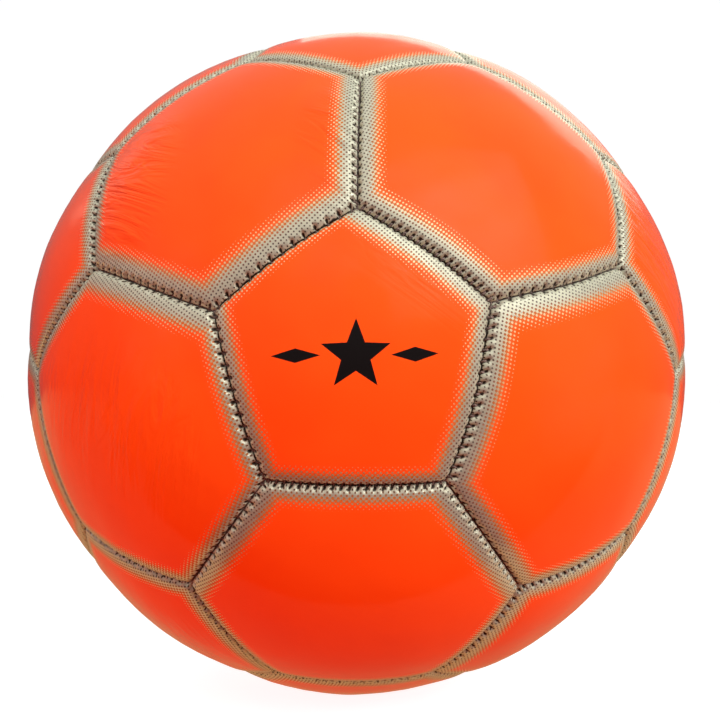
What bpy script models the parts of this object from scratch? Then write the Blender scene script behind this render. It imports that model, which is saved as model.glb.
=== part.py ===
"""A stitched 32-panel football, size 5, modelled as the pieces that it is sewn and glued from.

Run it with: blender --background --python part.py, or from Blender's text editor.

Frame: metres, +Z up, origin at the centre of the ball. One pentagon, the one that carries the
print, faces -Y with a corner up. The valve is in the middle of the opposite pentagon and faces +Y.

Pieces, from the outside in:
  32 panels        12 pentagons and 20 hexagons of laminated sheet (cover film, foam and cloth).
                   Each has rolled shoulders and a turned-in edge, which is sewn to its neighbour's.
  4 threads        one for the front half, one for the rear half, one that joins the halves, and
                   the last three seams, which are closed by hand.
  valve patch      cloth washer glued inside the valve panel.
  valve seat       rubber housing: neck in the panel's hole, flange on the bladder, barrel inside.
  valve core       rubber plug with the needle channel, pressed into the seat.
  bladder          thin rubber sphere, open where the valve seat passes through.
"""

import math

import bmesh
import bpy
from mathutils import Matrix, Vector

# ---- Driving sizes, in metres -------------------------------------------------------------

BALL_DIAMETER = 0.220  # across the crowns of two opposite panels
CLEARANCE = 0.0003  # between any two pieces that touch on the real ball

PANEL_THICKNESS = 0.0032  # the laminated sheet, at a panel's shoulders
PANEL_BULGE = 0.0010  # how far a panel's foam-filled crown stands above its shoulders
SHOULDER_WIDTH = 0.0045  # the rolled border of a panel, beside its seam
SHOULDER_DROP = 0.0018  # how far that border rolls down to the seam
SEAM_ALLOWANCE = 0.0040  # depth of the turned-in edge, below the seam's valley
SEAM_FLANGE = 0.0016  # thickness of the turned-in edge, where the foam is pressed flat

THREAD_DIAMETER = 0.0006
CLOSING_SEAMS = 3  # seams of the joining loop that are closed last, by hand

BLADDER_WALL = 0.0012

PATCH_DIAMETER = 0.034
PATCH_THICKNESS = 0.0005
VALVE_NECK_DIAMETER = 0.0084  # the part that shows in the panel's hole
VALVE_RECESS = 0.0010  # how far the valve's face lies below the panel's crown
VALVE_FLANGE_DIAMETER = 0.028
VALVE_FLANGE_THICKNESS = 0.0015
VALVE_BARREL_DIAMETER = 0.0120
VALVE_BARREL_LENGTH = 0.0140  # below the flange
CORE_DIAMETER = 0.0050
CORE_HEAD_DIAMETER = 0.0068
CORE_HEAD_THICKNESS = 0.0012
CORE_TIP = 0.0020  # how far the core stands out of the barrel's inner end
NEEDLE_CHANNEL_DIAMETER = 0.0016
NEEDLE_FUNNEL_DIAMETER = 0.0026
NEEDLE_FUNNEL_DEPTH = 0.0006
NEEDLE_STOP = 0.0020  # solid rubber, slit on the real core, below the channel

# ---- Mesh fineness ------------------------------------------------------------------------

SEAM_STEPS = 3  # straight segments along one seam
CROWN_RINGS = (0.40, 0.75)  # rings of a panel's outer face, as shares of the way to its shoulder
SHOULDER_RINGS = (0.45, 0.15)  # rings of the rolled border, as shares of its width
INNER_RINGS = (0.55,)
TURNED_STEPS = 24
BLADDER_ARCS = 12  # segments from the valve hole to the far pole
SMOOTH_ANGLE = math.radians(35)
FACET_SAG = 0.0003  # how far the flat facets of the panels' inner faces dip below their sphere

# ---- Sizes that follow from those ---------------------------------------------------------

CROWN_RADIUS = BALL_DIAMETER / 2
SHOULDER_RADIUS = CROWN_RADIUS - PANEL_BULGE
EDGE_RADIUS = SHOULDER_RADIUS - SHOULDER_DROP  # the valley at a seam
FLANGE_TIP_RADIUS = EDGE_RADIUS - SEAM_ALLOWANCE
LINING_RADIUS = SHOULDER_RADIUS - PANEL_THICKNESS  # the inner face of the panels
SEAM_INSET = CLEARANCE / 2  # each panel's distance to the plane of its seam
PATCH_TOP = LINING_RADIUS - FACET_SAG - CLEARANCE
FLANGE_TOP = PATCH_TOP - PATCH_THICKNESS - CLEARANCE
FLANGE_BOTTOM = FLANGE_TOP - VALVE_FLANGE_THICKNESS
BLADDER_RADIUS = min(FLANGE_BOTTOM, FLANGE_TIP_RADIUS) - CLEARANCE
VALVE_FACE = CROWN_RADIUS - VALVE_RECESS
FLANGE_ROOT = 1.3 * SEAM_FLANGE  # the turned-in edge widens where it meets the panel

# The thread lies in the valley, clear of the steepest facet of the shoulders beside it.
VALLEY_RUN = SHOULDER_RINGS[-1] * SHOULDER_WIDTH
VALLEY_RISE = SHOULDER_DROP * math.sqrt(1 - (1 - SHOULDER_RINGS[-1]) ** 2)
VALLEY_SLOPE = VALLEY_RISE / VALLEY_RUN
THREAD_RADIUS = (
    EDGE_RADIUS
    + THREAD_DIAMETER / 2
    + (THREAD_DIAMETER / 2 - SEAM_INSET) * VALLEY_SLOPE
    + CLEARANCE * math.hypot(1, VALLEY_SLOPE)
)
THREAD_STOP = CLEARANCE / math.sin(math.pi / 3)  # a thread ends short of one that passes it

# The valve hole has SEAM_STEPS sides to each side of its pentagon. It is narrowest in the middle
# of the widest of them.
HALF_WIDEST_SIDE = math.atan(math.tan(math.pi / 5) / SEAM_STEPS)
VALVE_HOLE_RADIUS = (VALVE_NECK_DIAMETER / 2 + CLEARANCE) / math.cos(HALF_WIDEST_SIDE)

FRONT = Vector((0, -1, 0))
REAR = Vector((0, 1, 0))
UP = Vector((0, 0, 1))


# ---- Materials ----------------------------------------------------------------------------


def material(name, colour, roughness, metallic=0.0):
    made = bpy.data.materials.new(name)
    made.use_nodes = True
    shader = made.node_tree.nodes["Principled BSDF"]
    shader.inputs["Base Color"].default_value = (*colour, 1)
    shader.inputs["Roughness"].default_value = roughness
    shader.inputs["Metallic"].default_value = metallic
    return made


# ---- Objects ------------------------------------------------------------------------------


def add_object(name, bm, look, parent):
    """Turns a bmesh into a named object with its material and with smooth rounds."""
    bmesh.ops.recalc_face_normals(bm, faces=bm.faces)
    mesh = bpy.data.meshes.new(name)
    bm.to_mesh(mesh)
    bm.free()
    mesh.materials.append(look)
    mesh.shade_smooth()
    mesh.set_sharp_from_angle(angle=SMOOTH_ANGLE)
    obj = bpy.data.objects.new(name, mesh)
    obj.parent = parent
    bpy.context.scene.collection.objects.link(obj)
    return obj


def add_loop(bm, points):
    """A closed loop of edges through the points."""
    verts = [bm.verts.new(p) for p in points]
    return [bm.edges.new((a, b)) for a, b in zip(verts, verts[1:] + verts[:1])]


def bridge(bm, loops):
    """Joins each loop of edges to the next one with a band of faces."""
    for outer, inner in zip(loops, loops[1:]):
        bmesh.ops.bridge_loops(bm, edges=outer + inner)


def close_to_point(bm, loop, point):
    """Fills a loop with a fan of faces that meet at the point."""
    face = bmesh.ops.contextual_create(bm, geom=loop)["faces"][0]
    poked = bmesh.ops.poke(bm, faces=[face])
    poked["verts"][0].co = point


# ---- The pattern of the panels ------------------------------------------------------------


class Panel:
    """One face of the pattern: the directions of its centre and corners, from the ball's centre."""

    def __init__(self, corners):
        self.corners = corners
        self.centre = sum(corners, Vector()).normalized()
        following = corners[1:] + corners[:1]
        self.seam_normals = [a.cross(b).normalized() for a, b in zip(corners, following)]

    def corner_point(self, i, radius, inset):
        """The point of this radius, near corner i, that lies inset from both seam planes there."""
        out = (self.corners[i] - self.corners[i].dot(self.centre) * self.centre).normalized()
        normal = self.seam_normals[i]
        towards_centre, towards_corner = normal.dot(self.centre), normal.dot(out)
        size = math.hypot(towards_centre, towards_corner)
        phase = math.atan2(towards_corner, towards_centre)
        angle = phase + math.acos(inset / (radius * size))
        return radius * (math.cos(angle) * self.centre + math.sin(angle) * out)

    def side_points(self, side, radius, inset):
        """Points of this radius along one side, from corner to corner, inset from its seam."""
        off_seam = inset * self.seam_normals[side]
        start = self.corner_point(side, radius, inset) - off_seam
        end = self.corner_point((side + 1) % len(self.corners), radius, inset) - off_seam
        shares = [step / SEAM_STEPS for step in range(SEAM_STEPS + 1)]
        return [start.slerp(end, share) * start.length + off_seam for share in shares]

    def ring(self, radius, inset):
        """Points of this radius all round the panel, inset from its seam planes."""
        sides = range(len(self.corners))
        return [p for side in sides for p in self.side_points(side, radius, inset)[:-1]]

    def middle_ring(self, radius, share):
        """Points of this radius, share of the way from the panel's middle to its shoulders."""
        shoulders = self.ring(SHOULDER_RADIUS, SEAM_INSET + SHOULDER_WIDTH)
        return [self.centre.lerp(p.normalized(), share).normalized() * radius for p in shoulders]

    def hole_ring(self, radius, hole_radius):
        """Points of this radius on a round hole through the panel's middle."""
        shoulders = self.ring(SHOULDER_RADIUS, SEAM_INSET + SHOULDER_WIDTH)
        height = math.sqrt(radius**2 - hole_radius**2)
        sideways = [(p - p.dot(self.centre) * self.centre).normalized() for p in shoulders]
        return [self.centre * height + out * hole_radius for out in sideways]


def turn_pattern(bm):
    """Turns the pattern so that a pentagon faces the front with a corner up."""
    bmesh.ops.rotate(bm, verts=bm.verts, matrix=UP.rotation_difference(FRONT).to_matrix())
    pentagon = max(bm.faces, key=lambda f: f.calc_center_median().dot(FRONT))
    corner = pentagon.verts[0].co
    spin = Matrix.Rotation(-math.atan2(corner.x, corner.z), 3, "Y")
    bmesh.ops.rotate(bm, verts=bm.verts, matrix=spin)


def panel_pattern():
    """A truncated icosahedron on the unit sphere: an icosahedron with each corner cut off."""
    bm = bmesh.new()
    bmesh.ops.create_icosphere(bm, subdivisions=1, radius=1.0)
    bmesh.ops.bevel(bm, geom=bm.verts, offset=100 / 3, offset_type="PERCENT", affect="VERTICES")
    for vert in bm.verts:
        vert.co.normalize()
    turn_pattern(bm)
    bmesh.ops.recalc_face_normals(bm, faces=bm.faces)
    return bm


def clockwise(direction):
    """The angle of a direction from up, clockwise as seen from the front, in whole degrees."""
    return round(math.degrees(math.atan2(direction.x, direction.z))) % 360


def front_to_rear(panel):
    return round(panel.centre.dot(REAR), 3), clockwise(panel.centre)


def named_panels():
    """The panels by name: pentagons and hexagons, each counted from the front to the rear."""
    pattern = panel_pattern()
    panels = [Panel([v.co.copy().freeze() for v in face.verts]) for face in pattern.faces]
    pattern.free()
    pentagons = sorted((p for p in panels if len(p.corners) == 5), key=front_to_rear)
    hexagons = sorted((p for p in panels if len(p.corners) == 6), key=front_to_rear)
    named = {"printed_panel": pentagons[0], "valve_panel": pentagons[-1]}
    named.update({f"pentagon_panel_{n:02d}": p for n, p in enumerate(pentagons[1:-1], 1)})
    named.update({f"hexagon_panel_{n:02d}": p for n, p in enumerate(hexagons, 1)})
    return named


# ---- Panels -------------------------------------------------------------------------------


def shoulder_radius_at(share):
    """Radius of the rolled border, from the seam (0) to the crown (1): a quarter of an ellipse."""
    return SHOULDER_RADIUS - SHOULDER_DROP * (1 - math.sqrt(1 - (1 - share) ** 2))


def panel_rings(panel):
    """The rings of a panel's skin, from the middle of its outer face round to the inner one."""
    outer = [
        panel.middle_ring(CROWN_RADIUS - PANEL_BULGE * share**2, share) for share in CROWN_RINGS
    ]
    for share in (1.0, *SHOULDER_RINGS):
        outer.append(panel.ring(shoulder_radius_at(share), SEAM_INSET + share * SHOULDER_WIDTH))
    edge = [
        panel.ring(EDGE_RADIUS, SEAM_INSET),
        panel.ring(FLANGE_TIP_RADIUS, SEAM_INSET),
        panel.ring(FLANGE_TIP_RADIUS, SEAM_INSET + SEAM_FLANGE),
        panel.ring(LINING_RADIUS, SEAM_INSET + FLANGE_ROOT),
    ]
    inner = [panel.middle_ring(LINING_RADIUS, share) for share in (1.0, *INNER_RINGS)]
    return outer + edge + inner


def make_panel(name, panel, look, parent):
    bm = bmesh.new()
    rings = panel_rings(panel)
    if name == "valve_panel":
        rings = [panel.hole_ring(CROWN_RADIUS, VALVE_HOLE_RADIUS), *rings]
        rings.append(panel.hole_ring(LINING_RADIUS, VALVE_HOLE_RADIUS))
    loops = [add_loop(bm, ring) for ring in rings]
    bridge(bm, loops)
    if name == "valve_panel":
        bridge(bm, [loops[-1], loops[0]])
    else:
        close_to_point(bm, loops[0], panel.centre * CROWN_RADIUS)
        close_to_point(bm, loops[-1], panel.centre * LINING_RADIUS)
    add_object(name, bm, look, parent)


# ---- Threads ------------------------------------------------------------------------------


class Seam:
    """Where two panels meet: its two corners, and each panel with the number of its side there."""

    def __init__(self, corners, sides):
        self.corners = corners
        self.sides = sides

    def lines(self, radius, inset):
        """For both panels, the points beside the seam, from its first corner to its last."""
        for panel, side in self.sides:
            points = panel.side_points(side, radius, inset)
            yield panel, points if panel.corners[side] == self.corners[0] else points[::-1]


def sort_seams(panels):
    """The seams in three sets: within the front half, within the rear half, and between them."""
    at_corners = {}
    for panel in panels:
        for side, start in enumerate(panel.corners):
            end = panel.corners[(side + 1) % len(panel.corners)]
            key = tuple(sorted((start, end), key=tuple))
            at_corners.setdefault(key, []).append((panel, side))
    sets = {"front": [], "rear": [], "joining": []}
    for corners, sides in at_corners.items():
        in_front = {panel.centre.dot(FRONT) > 0 for panel, _ in sides}
        key = "joining" if len(in_front) == 2 else "front" if True in in_front else "rear"
        sets[key].append(Seam(corners, sides))
    return sets


def ordered_loop(seams):
    """The seams of the joining loop in their order round the ball, from its highest corner."""
    corner = max((c for seam in seams for c in seam.corners), key=lambda c: c.z)
    left, chain = list(seams), []
    while left:
        seam = next(s for s in left if corner in s.corners)
        left.remove(seam)
        chain.append(seam)
        corner = seam.corners[0] if seam.corners[1] == corner else seam.corners[1]
    return chain


def corner_counts(seams):
    counts = {}
    for corner in (c for seam in seams for c in seam.corners):
        counts[corner] = counts.get(corner, 0) + 1
    return counts


def thread_ribbon(seams, stops):
    """The thread's outer face: a ribbon along each seam and a triangle where ribbons meet.

    At a corner in stops, the ribbon ends short of the thread that passes there.
    """
    bm = bmesh.new()
    outer_radius = THREAD_RADIUS + THREAD_DIAMETER / 2
    at_corner = {}
    for seam in seams:
        lines = []
        for panel, points in seam.lines(outer_radius, THREAD_DIAMETER / 2):
            for end, beside in ((0, 1), (-1, -2)):
                if seam.corners[end] in stops:
                    step = points[beside] - points[end]
                    points[end] = points[end] + THREAD_STOP * step.normalized()
            verts = [bm.verts.new(p) for p in points]
            for end in (0, -1):
                at_corner.setdefault((seam.corners[end], id(panel)), []).append(verts[end])
            lines.append(verts)
        for i in range(SEAM_STEPS):
            bm.faces.new((lines[0][i], lines[0][i + 1], lines[1][i + 1], lines[1][i]))
    for corner, count in corner_counts(seams).items():
        if count > 1 and corner not in stops:
            bm.faces.new([verts[0] for key, verts in at_corner.items() if key[0] == corner])
    bmesh.ops.remove_doubles(bm, verts=bm.verts, dist=1e-6)
    return bm


def make_thread(name, seams, stops, look, parent):
    bm = thread_ribbon(seams, stops)
    obj = add_object(name, bm, look, parent)
    thicken = obj.modifiers.new("thread_thickness", "SOLIDIFY")
    thicken.thickness = THREAD_DIAMETER
    thicken.offset = -1


def make_threads(panels, look, parent):
    seams = sort_seams(panels)
    loop = ordered_loop(seams["joining"])
    closing, joining = loop[:CLOSING_SEAMS], loop[CLOSING_SEAMS:]
    passed = set(corner_counts(loop))
    closing_ends = {c for c, count in corner_counts(closing).items() if count == 1}
    make_thread("front_half_thread", seams["front"], passed, look, parent)
    make_thread("rear_half_thread", seams["rear"], passed, look, parent)
    make_thread("joining_thread", joining, set(), look, parent)
    make_thread("closing_thread", closing, closing_ends, look, parent)


# ---- Bladder and valve, turned about the Y axis -------------------------------------------


def arc(radius, from_side, to_side, steps):
    """Points (distance from the axis, height) on a sphere about the ball's centre."""
    start, end = (math.asin(side / radius) for side in (from_side, to_side))
    angles = [start + (end - start) * i / steps for i in range(steps + 1)]
    return [(radius * math.sin(a), radius * math.cos(a)) for a in angles]


def make_turned(name, profile, look, parent, closed=True):
    """Spins an outline of (distance from the axis, height along +Y) about the Y axis."""
    bm = bmesh.new()
    verts = [bm.verts.new((side, height, 0)) for side, height in profile]
    edges = [bm.edges.new(pair) for pair in zip(verts, verts[1:])]
    if closed:
        edges.append(bm.edges.new((verts[-1], verts[0])))
    bmesh.ops.spin(
        bm,
        geom=verts + edges,
        cent=(0, 0, 0),
        axis=REAR,
        angle=2 * math.pi,
        steps=TURNED_STEPS,
        use_merge=True,
    )
    bmesh.ops.remove_doubles(bm, verts=bm.verts, dist=1e-6)
    add_object(name, bm, look, parent)


def make_bladder(look, parent):
    """A thin sphere with an opening for the valve's barrel."""
    opening = VALVE_BARREL_DIAMETER / 2 + CLEARANCE
    inner_radius = BLADDER_RADIUS - BLADDER_WALL

    def meridian(radius):
        start = math.asin(opening / radius)
        angles = [start + (math.pi - start) * i / BLADDER_ARCS for i in range(BLADDER_ARCS + 1)]
        return [(radius * math.sin(a), radius * math.cos(a)) for a in angles[:-1]] + [(0, -radius)]

    profile = list(reversed(meridian(BLADDER_RADIUS))) + meridian(inner_radius)
    make_turned("bladder", profile, look, parent, closed=False)


def make_valve_patch(look, parent):
    hole = VALVE_NECK_DIAMETER / 2 + CLEARANCE
    rim = PATCH_DIAMETER / 2
    profile = arc(PATCH_TOP, hole, rim, 3) + arc(PATCH_TOP - PATCH_THICKNESS, rim, hole, 3)
    make_turned("valve_patch", profile, look, parent)


def make_valve_seat(look, parent):
    neck, rim, barrel = (
        size / 2 for size in (VALVE_NECK_DIAMETER, VALVE_FLANGE_DIAMETER, VALVE_BARREL_DIAMETER)
    )
    bore = CORE_DIAMETER / 2 + CLEARANCE
    counterbore = CORE_HEAD_DIAMETER / 2 + CLEARANCE
    counterbore_floor = VALVE_FACE - CORE_HEAD_THICKNESS - CLEARANCE
    barrel_end = FLANGE_BOTTOM - VALVE_BARREL_LENGTH
    profile = [(counterbore, counterbore_floor), (counterbore, VALVE_FACE), (neck, VALVE_FACE)]
    profile += arc(FLANGE_TOP, neck, rim, 3)
    profile += arc(FLANGE_BOTTOM, rim, barrel, 3)
    profile += [(barrel, barrel_end), (bore, barrel_end), (bore, counterbore_floor)]
    make_turned("valve_seat", profile, look, parent)


def make_valve_core(look, parent):
    shank, head, channel, funnel = (
        size / 2
        for size in (
            CORE_DIAMETER,
            CORE_HEAD_DIAMETER,
            NEEDLE_CHANNEL_DIAMETER,
            NEEDLE_FUNNEL_DIAMETER,
        )
    )
    tip = FLANGE_BOTTOM - VALVE_BARREL_LENGTH - CORE_TIP
    head_bottom = VALVE_FACE - CORE_HEAD_THICKNESS
    profile = [
        (0, tip + NEEDLE_STOP),
        (channel, tip + NEEDLE_STOP),
        (channel, VALVE_FACE - NEEDLE_FUNNEL_DEPTH),
        (funnel, VALVE_FACE),
        (head, VALVE_FACE),
        (head, head_bottom),
        (shank, head_bottom),
        (shank, tip),
        (0, tip),
    ]
    make_turned("valve_core", profile, look, parent, closed=False)


# ---- The ball -----------------------------------------------------------------------------


def clear_scene():
    for obj in list(bpy.data.objects):
        bpy.data.objects.remove(obj, do_unlink=True)


def main():
    clear_scene()
    ball = bpy.data.objects.new("ball_centre", None)
    bpy.context.scene.collection.objects.link(ball)

    cover = material("orange_cover", (0.86, 0.10, 0.012), 0.22)
    thread = material("dark_thread", (0.045, 0.035, 0.03), 0.75)
    bladder = material("black_bladder", (0.02, 0.02, 0.022), 0.45)
    valve = material("valve_rubber", (0.035, 0.035, 0.037), 0.5)
    cloth = material("patch_cloth", (0.62, 0.58, 0.5), 0.9)

    panels = named_panels()
    for name, panel in panels.items():
        make_panel(name, panel, cover, ball)
    make_threads(list(panels.values()), thread, ball)

    make_bladder(bladder, ball)
    make_valve_patch(cloth, ball)
    make_valve_seat(valve, ball)
    make_valve_core(valve, ball)


main()
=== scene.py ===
"""The looks of a stitched 32-panel football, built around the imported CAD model.

Frame: metres, +Z up, origin at the centre of the ball. The printed pentagon faces -Y with a
corner up, and the valve is in the middle of the opposite pentagon. Sizes below are in
millimetres, because a panel's print and stitches are laid out in them; they become metres
where a mesh is made.

Each CAD panel is replaced by a fine panel with a bulging crown, rolled and pinched borders,
needle holes and a turned-in edge. Each CAD thread is replaced by its stitches. The print, a
silver border that breaks up into dots towards the orange, is in the cover's material.
"""

import math

import bmesh
import bpy
import numpy as np
from mathutils import Matrix, Vector


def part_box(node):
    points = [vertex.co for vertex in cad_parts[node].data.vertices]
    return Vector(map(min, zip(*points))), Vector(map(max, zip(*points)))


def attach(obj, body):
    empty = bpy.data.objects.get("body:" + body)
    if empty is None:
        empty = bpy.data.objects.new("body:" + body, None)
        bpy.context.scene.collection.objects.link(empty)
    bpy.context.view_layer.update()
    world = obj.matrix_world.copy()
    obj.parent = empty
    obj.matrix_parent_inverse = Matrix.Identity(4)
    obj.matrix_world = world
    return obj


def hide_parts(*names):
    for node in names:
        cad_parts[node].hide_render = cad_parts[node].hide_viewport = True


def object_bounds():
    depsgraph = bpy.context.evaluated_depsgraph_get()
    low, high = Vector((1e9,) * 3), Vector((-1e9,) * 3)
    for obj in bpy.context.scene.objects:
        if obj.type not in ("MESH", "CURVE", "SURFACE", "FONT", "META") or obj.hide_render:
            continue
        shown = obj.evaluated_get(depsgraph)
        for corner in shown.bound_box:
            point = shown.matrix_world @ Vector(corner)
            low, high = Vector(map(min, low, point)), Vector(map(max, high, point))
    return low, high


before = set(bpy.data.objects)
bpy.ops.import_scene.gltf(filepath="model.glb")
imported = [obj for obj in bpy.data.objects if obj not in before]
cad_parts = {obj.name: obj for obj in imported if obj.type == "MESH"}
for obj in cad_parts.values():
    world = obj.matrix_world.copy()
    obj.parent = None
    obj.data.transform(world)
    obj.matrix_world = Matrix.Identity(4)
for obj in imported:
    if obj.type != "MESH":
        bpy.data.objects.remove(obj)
cad_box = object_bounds()

BODY = "root"
MM = 0.001  # metres
SEED = 7

# ---- Sizes of the ball, in millimetres ----------------------------------------------------

CROWN_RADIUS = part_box("printed_panel")[0].y / -MM  # the ball's middle to a panel's crown
BULGE = 1.0  # from a panel's crown down to the middle of its sides
SURFACE_RADIUS = CROWN_RADIUS - BULGE
SHOULDER_WIDTH = 4.5  # where a panel begins to fall towards its seam
SHOULDER_DROP = 0.55
ROLL_WIDTH = 1.5  # the tight roll at the very edge
ROLL_DROP = 1.4
CORNER_ROUNDING = 0.5  # how softly the rolls of two sides run into each other
SLOW_UNEVENNESS = 0.16  # height of the long swells of the cover
QUICK_UNEVENNESS = 0.035  # and of the short ones
SEAM_INSET = 0.15  # a panel's edge to the plane of its seam
LINING_RADIUS = CROWN_RADIUS - 4.2  # the inner face of the panels
FLANGE_TIP_RADIUS = CROWN_RADIUS - 6.8
FLANGE = 1.6  # thickness of the turned-in edge

FINE = 144  # vertices along a side, near its seam
COARSE = FINE // 4
FINE_RINGS = (SEAM_INSET, 0.32, 0.52, 0.75, 1.0, 1.25, 1.5, 1.75, 2.05, 2.4, 2.8)
COARSE_RINGS = (3.4, 4.2, 5.4)
CROWN_SHARES = (0.1, 0.22, 0.36, 0.5, 0.64, 0.78, 0.9)  # of the way from there to the middle
# Rings down a panel's edge: distance from the seam, radius, vertices along a side, and how far
# on the flat sheet each is past the edge.
TURNED_IN_EDGE = (
    (SEAM_INSET, LINING_RADIUS + 1.0, FINE, 1.0),
    (SEAM_INSET, LINING_RADIUS, COARSE, 1.6),
    (SEAM_INSET, FLANGE_TIP_RADIUS, COARSE, 2.4),
    (SEAM_INSET + FLANGE, FLANGE_TIP_RADIUS, COARSE, 5.0),
)
# Rings into the valve's hole: how much wider each is than the hole, its depth, and the same.
HOLE_EDGE = ((0.22, 0.08, -0.1), (0.06, 0.3, -0.3), (0.0, 0.7, -0.7))

STITCH_PITCH = (2.1, 3.2)  # shortest and longest
SHORT_REACH = (0.15, 0.4)  # from the seam to the needle holes, on its tighter side
LONG_REACH = (0.7, 1.1)
STITCH_SLANT = 0.5  # along the seam for each step across it
GROOVE_WIDTH = (0.32, 0.46)  # of the dent that the thread pulls into a panel
GROOVE_DEPTH = 0.7
HOLE_RADIUS = 0.5
HOLE_DEPTH = 1.0
SUNK = (0.0, 0.7)  # how deep the thread lies in its groove
# The printed pentagon's seams, clockwise from its upper right one: the pitch of the stitches,
# their reach outwards and inwards, their slant, the width of a groove and how deep the
# thread lies in it.
PRINTED_SEAMS = (
    (2.1, 1.0, 0.2, 0.3, 0.46, -0.2),
    (2.6, 1.1, 0.2, -0.55, 0.46, -0.2),
    (2.05, 0.75, 0.05, 0.45, 0.44, 0.9),
    (3.1, 0.6, 0.6, 0.2, 0.38, 0.0),
    (3.3, 0.75, 0.05, 0.2, 0.22, 0.9),
)
CORNER_GAP = 1.0  # without stitches, at both ends of a seam

THREAD = 0.31  # radius of the thread in a stitch
THREAD_LIFT = 0.12  # its middle above the bottom of the groove
THREAD_DIP = 0.6  # how far its ends go down into the needle holes
THREAD_SIDES = 6
STITCH_POINTS = 9
STRAND = 0.2  # radius of the strand along a seam
SEAM_THREAD_RADIUS = 106.7  # the ball's middle to that strand
STRAND_STEP = 0.7
STRAND_WOBBLE = 0.05

NECK = 4.2  # radius of the valve in its hole
VALVE_GAP = 0.45
VALVE_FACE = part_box("valve_core")[1].y / MM
HEAD_RECESS = (3.72, 1.5)  # radius and depth of the seat's hollow for the core's head
CORE_BORE = 2.82
FLANGE_RADIUS = 14.0
BARREL_RADIUS = 6.0
BARREL_END = 88.9
CORE_HEAD = 3.4  # radius
CORE_STEM = 2.5
CORE_TIP = 86.9
NEEDLE_CHANNEL = 0.8
VALVE_SIDES = 96

# Corners that were sewn off the regular pattern: x and z, and how far to the right and up.
HAND_SEWN = (
    (0, 37, 0, -1.5),
    (35, 12, -3, 1.5),
    (-35, 12, 1, -1),
    (0, 74, 0.5, 1.5),
    (71, 23, -1.5, 1.5),
    (-71, 23, 2, 0),
    (-35, 86, 2.5, 2),
    (35, 86, -2, 2),
    (92, -7, 2, 3.5),
    (-92, -7, -1, 3),
    (-22, -90, -1, -3.5),
    (22, -90, 1, -2),
)
HAND_SEWN_REACH = 20  # how far round a corner its shift is felt


# ---- Small helpers ------------------------------------------------------------------------


def unit(vectors):
    return vectors / np.linalg.norm(vectors, axis=-1, keepdims=True)


def hand_sewn(directions):
    """Moves directions where the sewer left the cover's corners off the regular pattern."""
    moved = directions.copy()
    for x, z, right, up in HAND_SEWN:
        corner = np.array((x, -math.sqrt(SURFACE_RADIUS**2 - x * x - z * z), z)) / SURFACE_RADIUS
        away = np.linalg.norm(directions - corner, axis=-1, keepdims=True) * SURFACE_RADIUS
        shift = np.array((right, 0.0, up)) / SURFACE_RADIUS
        moved += np.exp(-((away / HAND_SEWN_REACH) ** 2)) * shift
    return unit(moved)


def smoothstep(low, high, x):
    share = np.clip((x - low) / (high - low), 0, 1)
    return share * share * (3 - 2 * share)


class Waves:
    """A smooth random field on the ball: a sum of plane waves with lengths in millimetres."""

    def __init__(self, rng, lengths, count):
        directions = unit(rng.normal(size=(count, 3)))
        self.turns = directions * (2 * math.pi / rng.uniform(*lengths, size=(count, 1)))
        self.phases = rng.uniform(0, 2 * math.pi, size=count)

    def __call__(self, points):
        return np.sin(points @ self.turns.T + self.phases).sum(axis=-1) / math.sqrt(len(self.turns))


RNG = np.random.default_rng(SEED)
SLOW_WAVES = Waves(RNG, (28, 70), 10)
QUICK_WAVES = Waves(RNG, (7, 16), 16)


# ---- The pattern of the panels, as in the CAD ---------------------------------------------


class Seam:
    """A seam from one corner to another, and how it is stitched on each side of it.

    Its sides have the signs 1 and -1. panels, reach and pull have an entry for each sign.
    """

    def __init__(self, start, end):
        self.start = start
        self.end = end
        self.normal = unit(np.cross(start, end))
        self.along = np.cross(self.normal, start)
        self.length = math.acos(start @ end) * SURFACE_RADIUS
        self.set_pitch(RNG.uniform(*STITCH_PITCH))
        self.slant = STITCH_SLANT * RNG.uniform(-1, 1)
        self.width = RNG.uniform(*GROOVE_WIDTH)
        tight = RNG.choice((1, -1))
        self.reach = {tight: RNG.uniform(*SHORT_REACH), -tight: RNG.uniform(*LONG_REACH)}
        self.pull = {sign: RNG.uniform(0.5, 1.0) for sign in (1, -1)}
        self.sunk = RNG.uniform(*SUNK)
        self.panels = {}

    def set_pitch(self, pitch):
        self.count = round(self.length / pitch)
        self.pitch = self.length / self.count

    def stitch_shape(self, directions, distance, sign):
        """How far directions on one side are in a stitch's groove and in its hole, 0 to 1."""
        x = np.arctan2(directions @ self.along, directions @ self.start) * SURFACE_RADIUS
        cell = (x - self.slant * sign * distance) / self.pitch
        off = (cell - np.floor(cell) - 0.5) * self.pitch
        ends = smoothstep(0.4, CORNER_GAP, x) * smoothstep(0.4, CORNER_GAP, self.length - x)
        reach = self.reach[sign]
        width = self.width * (1.4 - 0.7 * np.clip(distance / reach, 0, 1))
        groove = np.exp(-((off / width) ** 2)) * (1 - smoothstep(reach - 0.2, reach + 0.3, distance))
        hole = np.exp(-(off**2 + (distance - reach - 0.15) ** 2) / HOLE_RADIUS**2)
        return ends * groove * self.pull[sign], ends * hole

    def direction(self, x, across):
        """The direction this far along the seam and this far across it, in millimetres."""
        turn = np.asarray(x)[..., None] / SURFACE_RADIUS
        lean = np.asarray(across)[..., None] / SURFACE_RADIUS
        on_seam = np.cos(turn) * self.start + np.sin(turn) * self.along
        return np.cos(lean) * on_seam + np.sin(lean) * self.normal


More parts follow.
